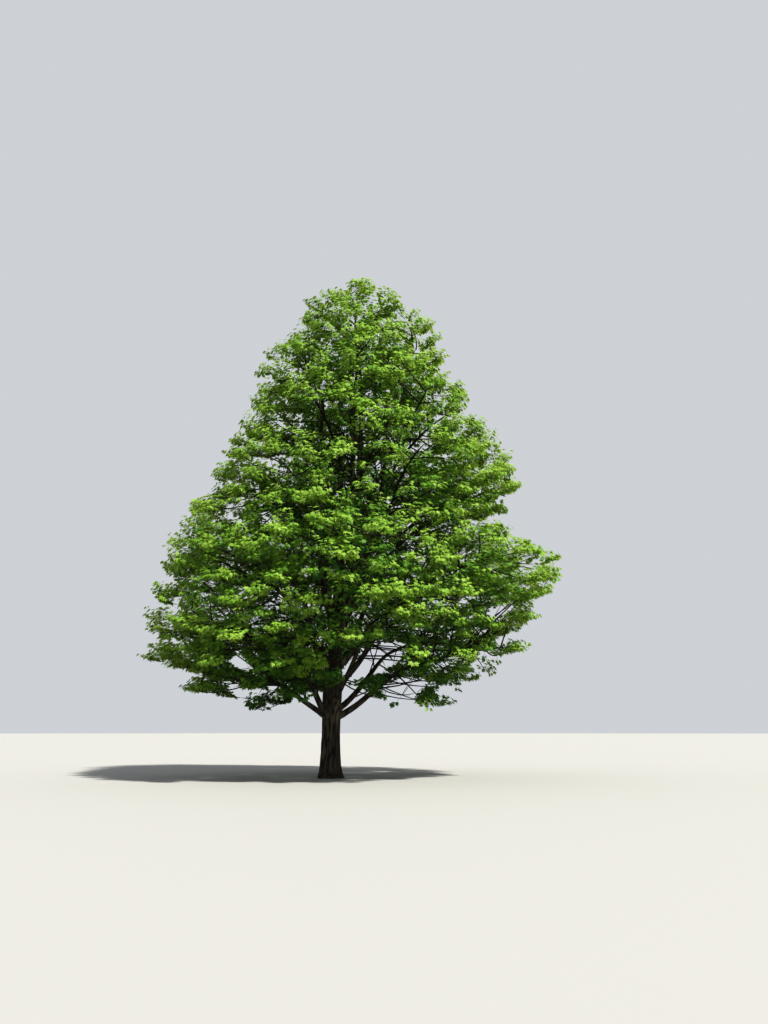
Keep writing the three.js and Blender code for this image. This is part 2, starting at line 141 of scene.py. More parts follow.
def trunkMiddle(z):
    z = np.asarray(z, float)
    fork = trunkShape["forkHeight"]
    lean = trunkShape["lean"] * (np.minimum(z, fork) / fork) ** 2
    return np.stack([lean, 0 * z, z], axis=-1)


def trunkRadius(z):
    s = trunkShape
    return (
        s["radius"]
        - s["taper"] * z / s["forkHeight"]
        + s["shoulder"] * smooth(s["shoulderFrom"], s["shoulderTo"], z)
        - s["crotch"] * smooth(s["crotchFrom"], s["forkHeight"], z)
        + s["flare"] * np.exp(-z / s["flareHeight"])
    )


def planMasses():
    draw = seeded(seeds["masses"])
    masses = []
    for tier in tiers:
        scatter = 1 if tier["count"] > 1 else 0
        for i in range(tier["count"]):
            turn = scatter * draw(-tierScatter["heading"], tierScatter["heading"])
            lift = scatter * draw(-tierScatter["height"], tierScatter["height"])
            out = headingVector(tier["heading"] + 360 * i / tier["count"] + turn)
            half = np.array(tier["half"])
            middle = out * (tier["reach"] - half[0])
            middle[0] += tier["shift"]
            middle[2] = tier["height"] + tier["lift"] * abs(out[1]) + lift
            slope = out * half[0] * math.cos(tier["pitch"] * degree)
            slope[2] += half[2] * math.sin(tier["pitch"] * degree)
            masses.append({
                "name": f"{tier['name']}_{i + 1}",
                "number": len(masses),
                "tier": tier,
                "half": half,
                "out": out,
                "across": np.cross(upward, out),
                "middle": middle,
                "inlet": middle - massShape["inlet"] * slope,
                "outlet": middle + massShape["outlet"] * slope,
            })
    return masses


masses = planMasses()
massOut, massAcross, massMiddle, massHalf = (
    np.array([mass[key] for mass in masses]) for key in ("out", "across", "middle", "half")
)


def limbPoint(limb, t):
    t = np.asarray(t, float)[..., None]
    a, b, c, d = limb["bend"]
    bend = (1 - t) ** 3 * a + 3 * (1 - t) ** 2 * t * b + 3 * (1 - t) * t**2 * c + t**3 * d
    return bend + limb["sway"] * np.sin(2 * np.pi * t) * (1 - t)


def limbHeading(limb, t):
    step = 1e-4
    t = np.clip(t, step, 1 - step)
    return unit(limbPoint(limb, t + step) - limbPoint(limb, t - step))


def limbRadius(limb, t):
    return mix(limb["radius"], limb["tipRadius"], np.asarray(t, float) ** limb["power"])


def makeLimb(name, mass, places, sway, radius, shape):
    # a cubic curve that ends in its mass and sways to one side and back
    return {
        "name": name,
        "kind": name.split("_")[0],
        "mass": mass,
        "bend": (*places, mass["inlet"]),
        "sway": sway,
        "radius": radius,
        "tipRadius": shape["tipRadius"],
        "power": shape["taperPower"],
    }


def planLeaders():
    limbs = []
    for name, massName, radius, bulge in leaders:
        mass = next(mass for mass in masses if mass["name"] == massName)
        start = trunkMiddle(leaderShape["rootHeight"])
        outwards = unit((mass["inlet"] - start) * (1, 1, 0))
        height = mass["inlet"][2] - start[2]
        leaving = start + outwards * bulge + upward * leaderShape["leavingRise"] * height
        arriving = mass["inlet"] + outwards * leaderShape["arrivingBulge"] * bulge
        arriving = arriving - upward * leaderShape["arrivingRise"] * height
        sway = np.cross(upward, outwards) * leaderShape["sway"]
        places = (start, leaving, arriving)
        limbs.append(makeLimb(name, mass, places, sway, radius, leaderShape))
    return limbs


def boughStart(mass, height, leaderLimbs):
    if height < trunkShape["forkHeight"]:
        return trunkMiddle(height)
    t = np.linspace(0, 1, 4001)
    starts = []
    for leader in leaderLimbs:
        points = limbPoint(leader, t)
        starts.append(limbPoint(leader, np.interp(height, points[:, 2], t)))
    return max(starts, key=lambda point: point @ mass["out"])


def planBoughs(leaderLimbs):
    draw = seeded(seeds["boughs"])
    limbs = []
    for mass in masses:
        tier = mass["tier"]
        if not tier["rise"]:
            continue
        start = boughStart(mass, draw(*tier["roots"]), leaderLimbs)
        run = mass["inlet"] - start
        length = lengthOf(run)
        outwards = unit(run * (1, 1, 0))
        rise = (tier["rise"] + draw(-boughShape["riseScatter"], boughShape["riseScatter"])) * degree
        reach = boughShape["leavingShare"] * length
        leaving = start + outwards * reach * math.cos(rise) + upward * reach * math.sin(rise)
        arrival = unit(mass["outlet"] - mass["inlet"])
        arriving = mass["inlet"] - arrival * boughShape["arrivingShare"] * length
        sway = np.cross(upward, outwards) * draw(-boughShape["sway"], boughShape["sway"])
        sway = sway + upward * draw(-boughShape["swayUp"], boughShape["swayUp"])
        radius = tier["radius"] * draw(*boughShape["radiusScatter"])
        places = (start, leaving, arriving)
        limbs.append(makeLimb("bough_" + mass["name"], mass, places, sway, radius, boughShape))
    return limbs


leaderLimbs = planLeaders()
boughLimbs = planBoughs(leaderLimbs)
limbs = leaderLimbs + boughLimbs
stations = np.linspace(0, 1, 25)
limbPlaces = np.concatenate([limbPoint(limb, stations) for limb in limbs])
limbThickness = np.concatenate([limbRadius(limb, stations) for limb in limbs])


# How far twigs and leaves may reach: from their mass, and within the outline of the whole crown

crownShape = {  # heights, and the crown's edges at each, fitted to the photograph where it shows them
    "heights": (2.1, 2.5, 2.9, 3.4, 3.9, 4.4, 5.1, 5.9, 6.5, 7.0, 7.4, 7.9, 8.7, 9.6, 10.5, 11.4, 12.3,
                13.2, 14.1, 14.6, 15.1, 15.5, 16.0, 16.9, 17.5, 17.9, 18.2),
    "left": (0.4, -3.6, -5.5, -6.3, -6.45, -6.4, -6.35, -6.3, -6.2, -6.1, -5.95, -5.7, -5.3, -4.65, -4.05,
             -3.75, -3.35, -3.1, -3.1, -2.6, -2.0, -1.6, -1.4, -1.1, -0.1, 0.4, 0.9),
    "right": (0.4, 3.4, 4.4, 5.0, 6.2, 6.8, 7.3, 7.85, 8.1, 8.1, 7.4, 6.3, 6.3, 7.0, 6.6, 6.0, 5.4,
              4.95, 4.55, 4.25, 4.15, 3.95, 3.8, 3.3, 2.3, 1.4, 0.9),
    "ripple": 0.22, "rippleScale": 1.9, "rippleMiddle": 0.4,  # unevenness of the whole outline
    "hem": 0.8, "hemScale": 5.8,  # and of its lowest edge, upwards and downwards
    "hemBottom": 3.0, "hemTop": 5.0,
    "coverWay": (0.8, 0.6),  # outwards and upwards, for the foliage that shades a point
    "coverStep": 0.4, "coverDeepest": 4.1,
    "coverDepth": 1.1,  # within which a mass covers, in squared half sizes
    "reachOver": 2.7,  # how far out twigs may leave their mass, in squared half sizes
    "crossing": 0.8,  # twigs of neighbouring masses mingle this far
}

seenFrom = (1.82, -34.82, 1.6)  # the photograph's place, for the openings and hollows
openingRipple = (0.5, 1.2)  # unevenness of an opening's edge, and its scale
# across, up, half width, half height and slope, fitted to the photograph
skyOpenings = [  # through the whole crown
    (1.5, 3.85, 1.05, 0.5, 0.35),
    (2.5, 2.95, 0.7, 0.35, 0.3),
    (-3.1, 3.75, 0.4, 0.22, -0.3),
    (5.8, 5.6, 0.4, 0.2, 0.3),
]
shadyHollows = [  # past the front tufts, on the photographed side only
    (-1.8, 12.6, 0.7, 0.7, 0),
    (0.0, 12.4, 0.9, 1.1, 0),
    (1.3, 11.8, 1.0, 1.2, 0),
    (3.1, 11.8, 0.8, 0.7, 0),
    (-1.9, 10.6, 0.8, 0.6, 0),
    (0.6, 10.4, 0.8, 0.7, 0),
    (3.0, 8.4, 0.9, 0.7, 0),
]


def inHalves(number, offset):
    return np.stack([
        np.sum(offset * massOut[number], axis=-1) / massHalf[number, 0],
        np.sum(offset * massAcross[number], axis=-1) / massHalf[number, 1],
        offset[..., 2] / massHalf[number, 2],
    ], axis=-1)


def inBlocks(points, size, measure):
    # a block at a time, to spare memory
    return np.concatenate([measure(block) for block in np.array_split(points, 1 + len(points) // size)])


def depthsIn(points):
    # in every mass: 0 in its middle and 1 at its edge
    def measure(block):
        offset = block[:, None] - massMiddle
        return np.sum(inHalves(np.arange(len(masses)), offset) ** 2, axis=-1)

    return inBlocks(points, 20000, measure)


def nearOwnMass(number, points, reachOver):
    depths = depthsIn(points)
    own = depths[np.arange(len(points)), number].copy()
    depths[np.arange(len(points)), number] = np.inf
    return (own < reachOver) & (own - crownShape["crossing"] < depths.min(axis=1))


def crownSpan(z):
    # middle line and radius of the whole crown at a height
    left = np.interp(z, crownShape["heights"], crownShape["left"])
    right = np.interp(z, crownShape["heights"], crownShape["right"])
    return (left + right) / 2, (right - left) / 2


def ripple(points, scale):
    # a smooth, uneven -1 to 1
    x, y, z = (points[..., i] * 2 * np.pi / scale for i in range(3))
    waves = np.sin(x + 1.7 * y + 0.6 * z) + np.sin(1.3 * z - 0.8 * x + 1)
    return (waves + np.sin(1.6 * y - 1.1 * z + 2.4)) / 3


def seenAt(points):
    # a point before or behind the trunk is seen elsewhere against it
    nearer = seenFrom[1] / (seenFrom[1] - points[..., 1])
    x = seenFrom[0] + (points[..., 0] - seenFrom[0]) * nearer
    return x, seenFrom[2] + (points[..., 2] - seenFrom[2]) * nearer


def awayFrom(spot, x, z):
    # 0 in its middle and 1 at its edge, squared
    middleX, middleZ, wide, high, slope = spot
    across = x - middleX
    return (across / wide) ** 2 + ((z - middleZ - slope * across) / high) ** 2


def inOpening(points):
    x, z = seenAt(points)
    uneven, scale = openingRipple
    inside = np.zeros(x.shape, bool)
    for opening in skyOpenings:
        inside |= awayFrom(opening, x, z) < 1 + uneven * ripple(points, scale)
    return inside


def inHollow(points):
    # 1 in the middle of one, 0 well outside it and on the crown's far side
    x, z = seenAt(points)
    depth = np.zeros(x.shape)
    for hollow in shadyHollows:
        depth = np.maximum(depth, np.exp(-(awayFrom(hollow, x, z) ** 1.5)))
    return depth * smooth(0.5, -0.5, points[..., 1])


def inOutline(points, margin):
    # uneven all over, and it hangs lower here and there along its lowest edge
    z = points[..., 2]
    s = crownShape
    hem = s["hem"] * (1 - smooth(s["hemBottom"], s["hemTop"], z))
    middle, radius = crownSpan(z + hem * ripple(points, s["hemScale"]))
    unevenness = s["ripple"] * (ripple(points, s["rippleScale"]) - s["rippleMiddle"])
    inside = np.hypot(points[..., 0] - middle, points[..., 1]) < radius + margin + unevenness
    return inside & ~inOpening(points)


def roomAhead(number, start, direction, reach):
    # the way left to the edge of a mass, whose half sizes are multiplied by reach
    place = inHalves(number, start - massMiddle[number])
    step = inHalves(number, direction)
    a = np.sum(step * step, axis=-1)
    b = np.sum(step * place, axis=-1)
    c = np.sum(place * place, axis=-1) - reach**2
    return (np.sqrt(np.maximum(0, b * b - a * c)) - b) / a


def clearOfLimbs(points, clearance):
    def measure(block):
        return (lengthOf(block[:, None] - limbPlaces) - limbThickness).min(axis=1)

    return inBlocks(points, 5000, measure) > clearance


def crownOutwards(points):
    outwards = points * (1, 1, 0)
    outwards[:, 0] -= crownSpan(points[:, 2])[0]
    return unit(outwards)


def leafCover(points):
    # how much foliage lies outside and above each point
    outShare, upShare = crownShape["coverWay"]
    direction = unit(crownOutwards(points) * outShare + upward * upShare)
    step = crownShape["coverStep"]
    cover = np.zeros(len(points))
    for distance in np.arange(step, crownShape["coverDeepest"], step):
        depths = depthsIn(points + direction * distance).min(axis=1)
        cover += step * (depths < crownShape["coverDepth"])
    return cover


# Twigs: arrays of curved pieces, each with a start, a middle and an end

stemRule = {
    "wander": 0.16, "foot": 0.12,  # it starts inside its limb
    "thickness": (0.05, 0.022), "sides": 7, "segments": 7,
}

armRule = {
    "extraPairs": (0.33, 0.71),  # between the pairs of the solids
    "tipArms": 4, "tipForward": (0.7, 1.6),
    "reach": 1.3, "tipRoom": 0.5, "shortest": 0.35,
    "arch": 0.04, "rise": 0.1, "wander": 0.12,
    "clearance": 0.052, "margin": -0.5, "reachOver": crownShape["reachOver"],
    "thickness": (0.026, 0.01), "sides": 5, "segments": 5,
}

branchRule = {
    "places": (0.16, 0.3, 0.44, 0.58, 0.72, 0.86, 0.97),
    "spacing": 0.45,  # between two pairs, at least
    "turns": (20, 60), "scatter": 18, "tipScatter": 0.12,
    "forward": (0.45, 0.95), "liftDown": 0.35,
    "length": (0.75, 1.15), "tipShare": 0.75, "shortest": 0.25,
    "reach": 1.62, "tipRoom": 0.3,
    "arch": 0.03, "rise": 0.25, "wander": 0.06,
    "clearance": 0.1, "margin": -0.15, "reachOver": crownShape["reachOver"],
    "thickness": (0.012, 0.005), "sides": 3, "segments": 3,
}

shootRule = {
    **branchRule,
    "places": (0.22, 0.34, 0.46, 0.58, 0.7, 0.82, 0.94),
    "spacing": 0.1,
    "turns": (18, 72), "scatter": 16,
    "forward": (0.3, 0.8), "liftDown": 0.7,
    "length": (0.26, 0.44), "tipShare": 0.8, "shortest": 0.1,
    "reach": 1.68, "tipRoom": 0.1,
    "arch": 0.02, "wander": 0.03, "margin": 0.2,
    "thickness": (0.005, 0.003), "segments": 1,
}

fitting = {
    "shares": (1, 0.8, 0.62, 0.45),  # of a piece's full length, tried in turn
    "halfway": 0.6,  # of the way along it is tested too, with this share of the clearance
}


random = np.random.default_rng(seeds["sprays"])


def pieceAt(pieces, t):
    t = t[:, None]
    bend = (1 - t) ** 2 * pieces["start"] + 2 * t * (1 - t) * pieces["middle"]
    return bend + t * t * pieces["end"]


def pieceHeading(pieces, t):
    t = t[:, None]
    start, middle, end = (pieces[key] for key in ("start", "middle", "end"))
    return unit((1 - t) * (middle - start) + t * (end - middle))


def curvedPieces(start, direction, length, rule):
    length = length[:, None]
    wander = random.normal(0, 1, (len(start), 3)) * rule["wander"] * length
    return {
        "start": start,
        "middle": start + direction * length * 0.5 + upward * rule["arch"] * length + wander,
        "end": start + direction * length + upward * rule["rise"] * length,
    }


def squareTo(along):
    # sideways and upwards from each direction, also where it points straight up
    side = unit(np.cross(along, upward) + 1e-6)
    return side, np.cross(side, along)


def pick(pieces, keep):
    return {key: values[keep] for key, values in pieces.items()}


def together(parts):
    return {key: np.concatenate([part[key] for part in parts]) for key in parts[0]}


def growStems():
    inlets = np.array([limb["mass"]["inlet"] for limb in limbs])
    outlets = np.array([limb["mass"]["outlet"] for limb in limbs])
    crests = (inlets + outlets) / 2
    number = np.array([limb["mass"]["number"] for limb in limbs])
    crests[:, 2] += massShape["stemArch"] * massHalf[number, 2]
    crests += random.normal(0, stemRule["wander"], crests.shape)
    back = np.array([limbHeading(limb, 1.0) for limb in limbs]) * stemRule["foot"]
    return {"start": inlets - back, "middle": crests, "end": outlets, "number": number}


def armsOf(stem, mass):
    # pairs where the solids have theirs but longer, more pairs between them, and a few arms at the tip
    draw = seeded(seeds["twigs"] + mass["number"])
    across = mass["across"]
    arms = []

    def placeOn(t):
        along = pieceHeading(stem, np.array([t]))[0]
        return pieceAt(stem, np.array([t]))[0], along, np.cross(along, across)

    def addArm(root, direction, scatter=1):
        room = roomAhead(mass["number"], root, direction, armRule["reach"]) - armRule["tipRoom"]
        arms.append((root, direction, max(armRule["shortest"], room * scatter), mass["number"]))

    first, last = massShape["firstPair"], massShape["lastPair"]
    ownPairs = [mix(first, last, pair / (massShape["pairs"] - 1)) for pair in range(massShape["pairs"])]
    for order, t in enumerate(ownPairs + list(armRule["extraPairs"])):
        root, along, upright = placeOn(t)
        turn = massShape["pairTurns"][order % 2]
        turn = (turn + draw(-massShape["turnScatter"], massShape["turnScatter"])) * degree
        for hand in (-1, 1):
            direction = along * draw(*massShape["forward"])
            direction = direction + across * hand * math.cos(turn)
            direction = unit(direction - upright * hand * math.sin(turn))
            addArm(root, direction, draw(*massShape["lengthScatter"]))
    end, along, upright = placeOn(1.0)
    for quarter in range(armRule["tipArms"]):
        turn = (quarter + draw(0.2, 0.8)) * 2 * math.pi / armRule["tipArms"]
        direction = across * math.cos(turn) + upright * math.sin(turn)
        addArm(end, unit(direction + along * draw(*armRule["tipForward"])))
    return arms


def growArms():
    arms = []
    for i, number in enumerate(stems["number"]):
        arms += armsOf(pick(stems, slice(i, i + 1)), masses[number])
    return fitted(*(np.array(column) for column in zip(*arms)), armRule)


sideArms = {
    "bough": (0.42, 0.96, 6),  # first, last and how many pairs
    "leader": (0.3, 0.96, 9),
    "turn": (-25, 60),
    "forward": (0.4, 1.0),
    "length": (0.9, 1.9),
    "reachOver": 4.0,
}


def growSideArms():
    # the limbs carry arms of their own before they reach their masses
    parts = []
    for limb in limbs:
        t = np.linspace(*sideArms[limb["kind"]])
        along = limbHeading(limb, t)
        side, upright = squareTo(along)
        for hand in (-1, 1):
            turn = random.uniform(*sideArms["turn"], (len(t), 1)) * degree
            forward = random.uniform(*sideArms["forward"], (len(t), 1))
            direction = along * forward + hand * side * np.cos(turn) + upright * np.sin(turn)
            length = random.uniform(*sideArms["length"], len(t))
            parts.append((limbPoint(limb, t), unit(direction), length))
    roots, directions, lengths = (np.concatenate(column) for column in zip(*parts))
    number = np.argmin(depthsIn(roots + directions * lengths[:, None]), axis=1)
    return fitted(roots, directions, lengths, number, {**armRule, "reachOver": sideArms["reachOver"]})


def apart(points, distance):
    # in a random order, whatever stands too near to one that is kept is left out
    keep = np.zeros(len(points), bool)
    free = np.ones(len(points), bool)
    for i in random.permutation(len(points)):
        if free[i]:
            keep[i] = True
            free &= np.sum((points - points[i]) ** 2, axis=1) > distance**2
    return keep


gapArms = {  # out into the gaps between the masses
    "tries": 14000,
    "places": (0.25, 0.97),
    "spread": 0.6,
    "rise": (-0.5, 0.9),
    "lengths": (1.2, 4.0),
    "depths": (0.6, 2.6),  # of the tip, in the space of the nearest mass
    "shell": (-0.4, -1.7),  # how far inside the crown's outline the tips are
    "below": 20,  # in height
    "apart": 0.72,
    "reachOver": 4.0,
}
hangingArms = {  # to hang along the crown's lower edge
    **gapArms,
    "tries": 5000, "rise": (-1.3, -0.1), "depths": (0, 2), "shell": (-0.3, -2.6), "below": 4.3,
}


def growFreeArms(others, rule):
    # from anywhere on the limbs and stems, as far as nothing else has filled the place of their tips
    count = rule["tries"]
    places = random.uniform(*rule["places"], count)
    hosts = random.choice(limbs, count // 2)
    onLimbs = [limbPoint(limb, place) for limb, place in zip(hosts, places)]
    hosts = pick(stems, random.integers(0, len(limbs), count - count // 2))
    onStems = pieceAt(hosts, places[count // 2:])
    roots = np.concatenate([onLimbs, onStems])
    outwards = crownOutwards(roots)
    spread = random.normal(0, rule["spread"], (count, 1))
    directions = outwards + np.cross(upward, outwards) * spread
    directions = unit(directions + upward * random.uniform(*rule["rise"], (count, 1)))
    lengths = random.uniform(*rule["lengths"], count)
    tips = roots + directions * lengths[:, None]
    depths = depthsIn(tips)
    nearest = depths.min(axis=1)
    good = inOutline(tips, rule["shell"][0]) & ~inOutline(tips, rule["shell"][1])
    good &= (nearest > rule["depths"][0]) & (nearest < rule["depths"][1])
    good &= tips[:, 2] < rule["below"]
    for block in np.array_split(others["end"], 8):
        good &= lengthOf(tips[:, None] - block).min(axis=1) > rule["apart"]
    good[good] = apart(tips[good], rule["apart"])
    numbers = np.argmin(depths, axis=1)
    grown = {**armRule, "margin": rule["shell"][0], "reachOver": rule["reachOver"]}
    return fitted(roots[good], directions[good], lengths[good], numbers[good], grown)


def fitted(roots, directions, lengths, numbers, rule, owners=None):
    # a piece that would reach too far from its mass or the crown, or touch a limb, is tried shorter
    # and then skipped
    done = np.zeros(len(roots), bool)
    fit = lengths.copy()
    halfway = fitting["halfway"]
    for share in fitting["shares"]:
        length = lengths * share
        tips = roots + directions * length[:, None]
        middles = roots + directions * (length * halfway)[:, None]
        good = ~done & (length > rule["shortest"])
        good &= nearOwnMass(numbers, tips, rule["reachOver"]) & inOutline(tips, rule["margin"])
        good &= clearOfLimbs(tips, rule["clearance"])
        good &= clearOfLimbs(middles, rule["clearance"] * halfway)
        fit[good] = length[good]
        done |= good
    pieces = curvedPieces(roots, directions, fit, rule)
    pieces["number"] = numbers
    pieces["owner"] = np.arange(len(roots)) if owners is None else owners
    return pick(pieces, done)


def growPairs(parents, rule):
    # opposite pairs, every second one steeper, and one more piece straight on from the tip
    span = lengthOf(parents["end"] - parents["start"])
    places = np.array(rule["places"])
    count = np.clip(np.ceil(span / rule["spacing"]), 2, len(places)).astype(int)
    owner = np.repeat(np.arange(len(span)), count)
    slot = np.arange(len(owner)) - np.repeat(np.cumsum(count) - count, count)
    middles = (np.arange(len(places)) + 0.5) / len(places)
    share = np.interp((slot + 0.5) / count[owner], middles, places)
    host = pick(parents, owner)
    along = pieceHeading(host, share)
    side, upright = squareTo(along)
    turn = np.where(slot % 2 == 0, *rule["turns"])
    turn = turn + random.uniform(-1, 1, len(owner)) * rule["scatter"]
    tilt = np.where(random.random(len(owner)) < 0.5, -1, 1)
    sets = []
    for hand in (-1, 1):
        forward = random.uniform(*rule["forward"], len(owner))[:, None]
        direction = along * forward + side * (hand * np.cos(turn * degree))[:, None]
        direction = unit(direction + upright * (hand * tilt * np.sin(turn * degree))[:, None])
        direction[:, 2] += rule["liftDown"] * (np.abs(direction[:, 2]) - direction[:, 2])
        length = random.uniform(*rule["length"], len(owner)) * mix(1, rule["tipShare"], share)
        sets.append((pieceAt(host, share), unit(direction), length, owner))
    ahead = pieceHeading(parents, np.ones(len(span)))
    ahead = ahead + random.normal(0, rule["tipScatter"], (len(span), 3))
    length = random.uniform(*rule["length"], len(span)) * rule["tipShare"]
    sets.append((parents["end"], unit(ahead), length, np.arange(len(span))))
    roots, directions, lengths, owners = (np.concatenate(column) for column in zip(*sets))
    numbers = parents["number"][owners]
    room = roomAhead(numbers, roots, directions, rule["reach"]) - rule["tipRoom"]
    lengths = np.minimum(lengths, np.maximum(room, rule["shortest"] * 1.01))
    return fitted(roots, directions, lengths, numbers, rule, owners)


thinning = {  # twigs deep inside the crown are few
    "from": (1.0, 5.5),  # the low boughs stay full
    "branches": ((1.0, 2.2, 3.4), (1.0, 0.6, 0.22)),  # cover in metres, and the share that grows there
    "shoots": ((1.2, 2.4, 3.6), (1.0, 0.65, 0.3)),
    "hollows": {"branches": 0.85, "shoots": 0.6},
}

# the tuft of leaves that a branch bears: its middle along and below the branch
clumpShape = {"along": 0.7, "below": 0.2, "apart": 0.67}


def clumpMiddles(pieces):
    middles = pieceAt(pieces, np.full(len(pieces["number"]), clumpShape["along"]))
    return middles - upward * clumpShape["below"]


def thinned(pieces, key):
    covers = leafCover(pieces["end"])
    inside = covers * smooth(*thinning["from"], pieces["end"][:, 2])
    share = np.interp(inside, *thinning[key])
    share = share * (1 - thinning["hollows"][key] * inHollow(pieces["end"]))
    keep = random.random(len(covers)) < share
    # kept for the leaves' tones, which paint shade where the cover is deep
    pieces["cover"] = covers
    return pick(pieces, keep)


stems = growStems()
arms = together([growArms(), growSideArms()])
for rule in (gapArms, hangingArms):
    arms = together([arms, growFreeArms(arms, rule)])
carriers = together([stems, {key: arms[key] for key in stems}])
branches = thinned(growPairs(carriers, branchRule), "branches")
branches = pick(branches, apart(clumpMiddles(branches), clumpShape["apart"]))
bearing = np.isin(np.arange(len(carriers["number"])), branches["owner"])[len(stems["number"]):]
arms = pick(arms, bearing)
shoots = thinned(growPairs(branches, shootRule), "shoots")
clumps = clumpMiddles(branches)
print("twigs grown:", *(len(pieces["number"]) for pieces in (arms, branches, shoots)))


def tubes(pieces, rule):
    # each piece is a tube with a closed foot, and its last stretch narrows to a point
    sides, segments = rule["sides"], rule["segments"]
    count = len(pieces["start"])
    angles = np.arange(sides) * 2 * np.pi / sides
    rings = []
    for ring in range(segments):
        t = np.full(count, ring / segments)
        along = pieceHeading(pieces, t)
        steep = np.abs(along[:, 2:]) > 0.9
        side = unit(np.cross(along, np.where(steep, (1.0, 0.0, 0.0), upward)))
        rise = np.cross(side, along)
        radius = mix(*rule["thickness"], t)[:, None]
        middle = pieceAt(pieces, t)
        for angle in angles:
            rings.append(middle + radius * (side * math.cos(angle) - rise * math.sin(angle)))
    rings.append(pieceAt(pieces, np.ones(count)))
    points = np.stack(rings, axis=1)
    faces = [(0, i + 1, i) for i in range(1, sides - 1)]
    for ring in range(segments - 1):
        for i in range(sides):
            a, b = ring * sides + i, ring * sides + (i + 1) % sides
            faces += [(a, b, a + sides), (b, b + sides, a + sides)]
    tip = segments * sides
    faces += [(tip - sides + i, tip - sides + (i + 1) % sides, tip) for i in range(sides)]
    starts = np.arange(count)[:, None, None] * (tip + 1)
    return points.reshape(-1, 3), (np.array(faces)[None] + starts).reshape(-1, 3)


def addObject(name, data):
    made = bpy.data.objects.new(name, data)
    bpy.context.scene.collection.objects.link(made)
    return made


def meshPiece(name, parts, material, shadeSmooth=True):
    points = np.concatenate([part[0] for part in parts])
    shifts = np.cumsum([0] + [len(part[0]) for part in parts[:-1]])
    triangles = np.concatenate([part[1] + shift for part, shift in zip(parts, shifts)])
    mesh = bpy.data.meshes.new(name)
    mesh.vertices.add(len(points))
    mesh.vertices.foreach_set("co", points.astype(np.float32).ravel())
    mesh.loops.add(triangles.size)
    mesh.loops.foreach_set("vertex_index", triangles.astype(np.int32).ravel())
    mesh.polygons.add(len(triangles))
    mesh.polygons.foreach_set("loop_start", np.arange(0, triangles.size, 3, dtype=np.int32))
    mesh.update(calc_edges=True)
    mesh.validate()
    mesh.polygons.foreach_set("use_smooth", np.full(len(mesh.polygons), shadeSmooth))
    mesh.materials.append(material)
    piece = addObject(name, mesh)
    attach(piece, "root")
    print("  ", name, len(mesh.polygons), "triangles")
    return piece


# Materials

class Value:
    # a socket that takes part in sums, with numbers or with other sockets
    def __init__(self, paint, socket):
        self.paint = paint
        self.socket = socket

    def math(self, operation, a, b):
        return self.paint.node("ShaderNodeMath", {"operation": operation}, {0: a, 1: b})

    def __add__(self, other):
        return self.math("ADD", self, other)

    def __sub__(self, other):
        return self.math("SUBTRACT", self, other)

    def __rsub__(self, other):
        return self.math("SUBTRACT", other, self)

    def __mul__(self, other):
        return self.math("MULTIPLY", self, other)

    __radd__ = __add__
    __rmul__ = __mul__


class Paint:
    def __init__(self, name):
        self.material = bpy.data.materials.new(name)
        self.material.use_nodes = True
        self.tree = self.material.node_tree
        self.tree.nodes.clear()

    def node(self, kind, settings=None, sockets=None, output=0):
        made = self.tree.nodes.new(kind)
        for key, value in (settings or {}).items():
            if key == "stops":
                self.setStops(made.color_ramp, value)
            else:
                setattr(made, key, value)
        for key, value in (sockets or {}).items():
            if isinstance(value, Value):
                self.tree.links.new(value.socket, made.inputs[key])
            else:
                made.inputs[key].default_value = value
        return Value(self, made.outputs[output]) if made.outputs else None

    def setStops(self, ramp, stops):
        for element, (place, grey) in zip(ramp.elements, stops):
            element.position = place
            element.color = (grey, grey, grey, 1)

    def place(self):
        return self.node("ShaderNodeTexCoord", output="Object")

    def noise(self, where, scale, detail):
        return self.node("ShaderNodeTexNoise", {}, {
            "Vector": where, "Scale": scale, "Detail": detail, "Roughness": 0.55,
        })

    def ramp(self, share, stops):
        return self.node("ShaderNodeValToRGB", {"stops": stops}, {"Fac": share})

    def blend(self, share, a, b):
        return self.node("ShaderNodeMix", {"data_type": "RGBA"}, {0: share, 6: a, 7: b}, output=2)

    def finish(self, shader):
        self.node("ShaderNodeOutputMaterial", {}, {"Surface": shader})
        return self.material


def rgba(red, green, blue):
    return (red, green, blue, 1.0)


barkFinish = {  # a noise has its scale and detail, and a colour's stops say how much of it shows
    # furrow is near-black: painted shade in the bark's furrows, where the relief is low; ridge colours
    # the raised tops
    "furrow": rgba(0.012, 0.010, 0.008),
    "ridge": rgba(0.098, 0.084, 0.060),
    "ridgeStops": [(0.3, 0.0), (0.8, 1.0)],
    "weathered": rgba(0.155, 0.140, 0.108),
    "weatheredStops": [(0.48, 0.0), (0.7, 0.7)],
    "dark": rgba(0.038, 0.032, 0.024),
    "darkStops": [(0.5, 0.0), (0.75, 0.6)],
    "mossy": rgba(0.050, 0.056, 0.030),
    "mossyStops": [(0.55, 0.0), (0.8, 0.45)],
    "fine": (34, 5),
    "streaks": (7, 3),
    "patches": (1.7, 4),
    "damp": (0.8, 3),
    "stretch": (1, 1, 0.16),  # of fine and streaks, along the grain
    "twigRelief": 0.25,
    "roughness": 0.95,
    "specular": 0.25,
    "bump": 0.6,
    "bumpDepth": 0.012,
}


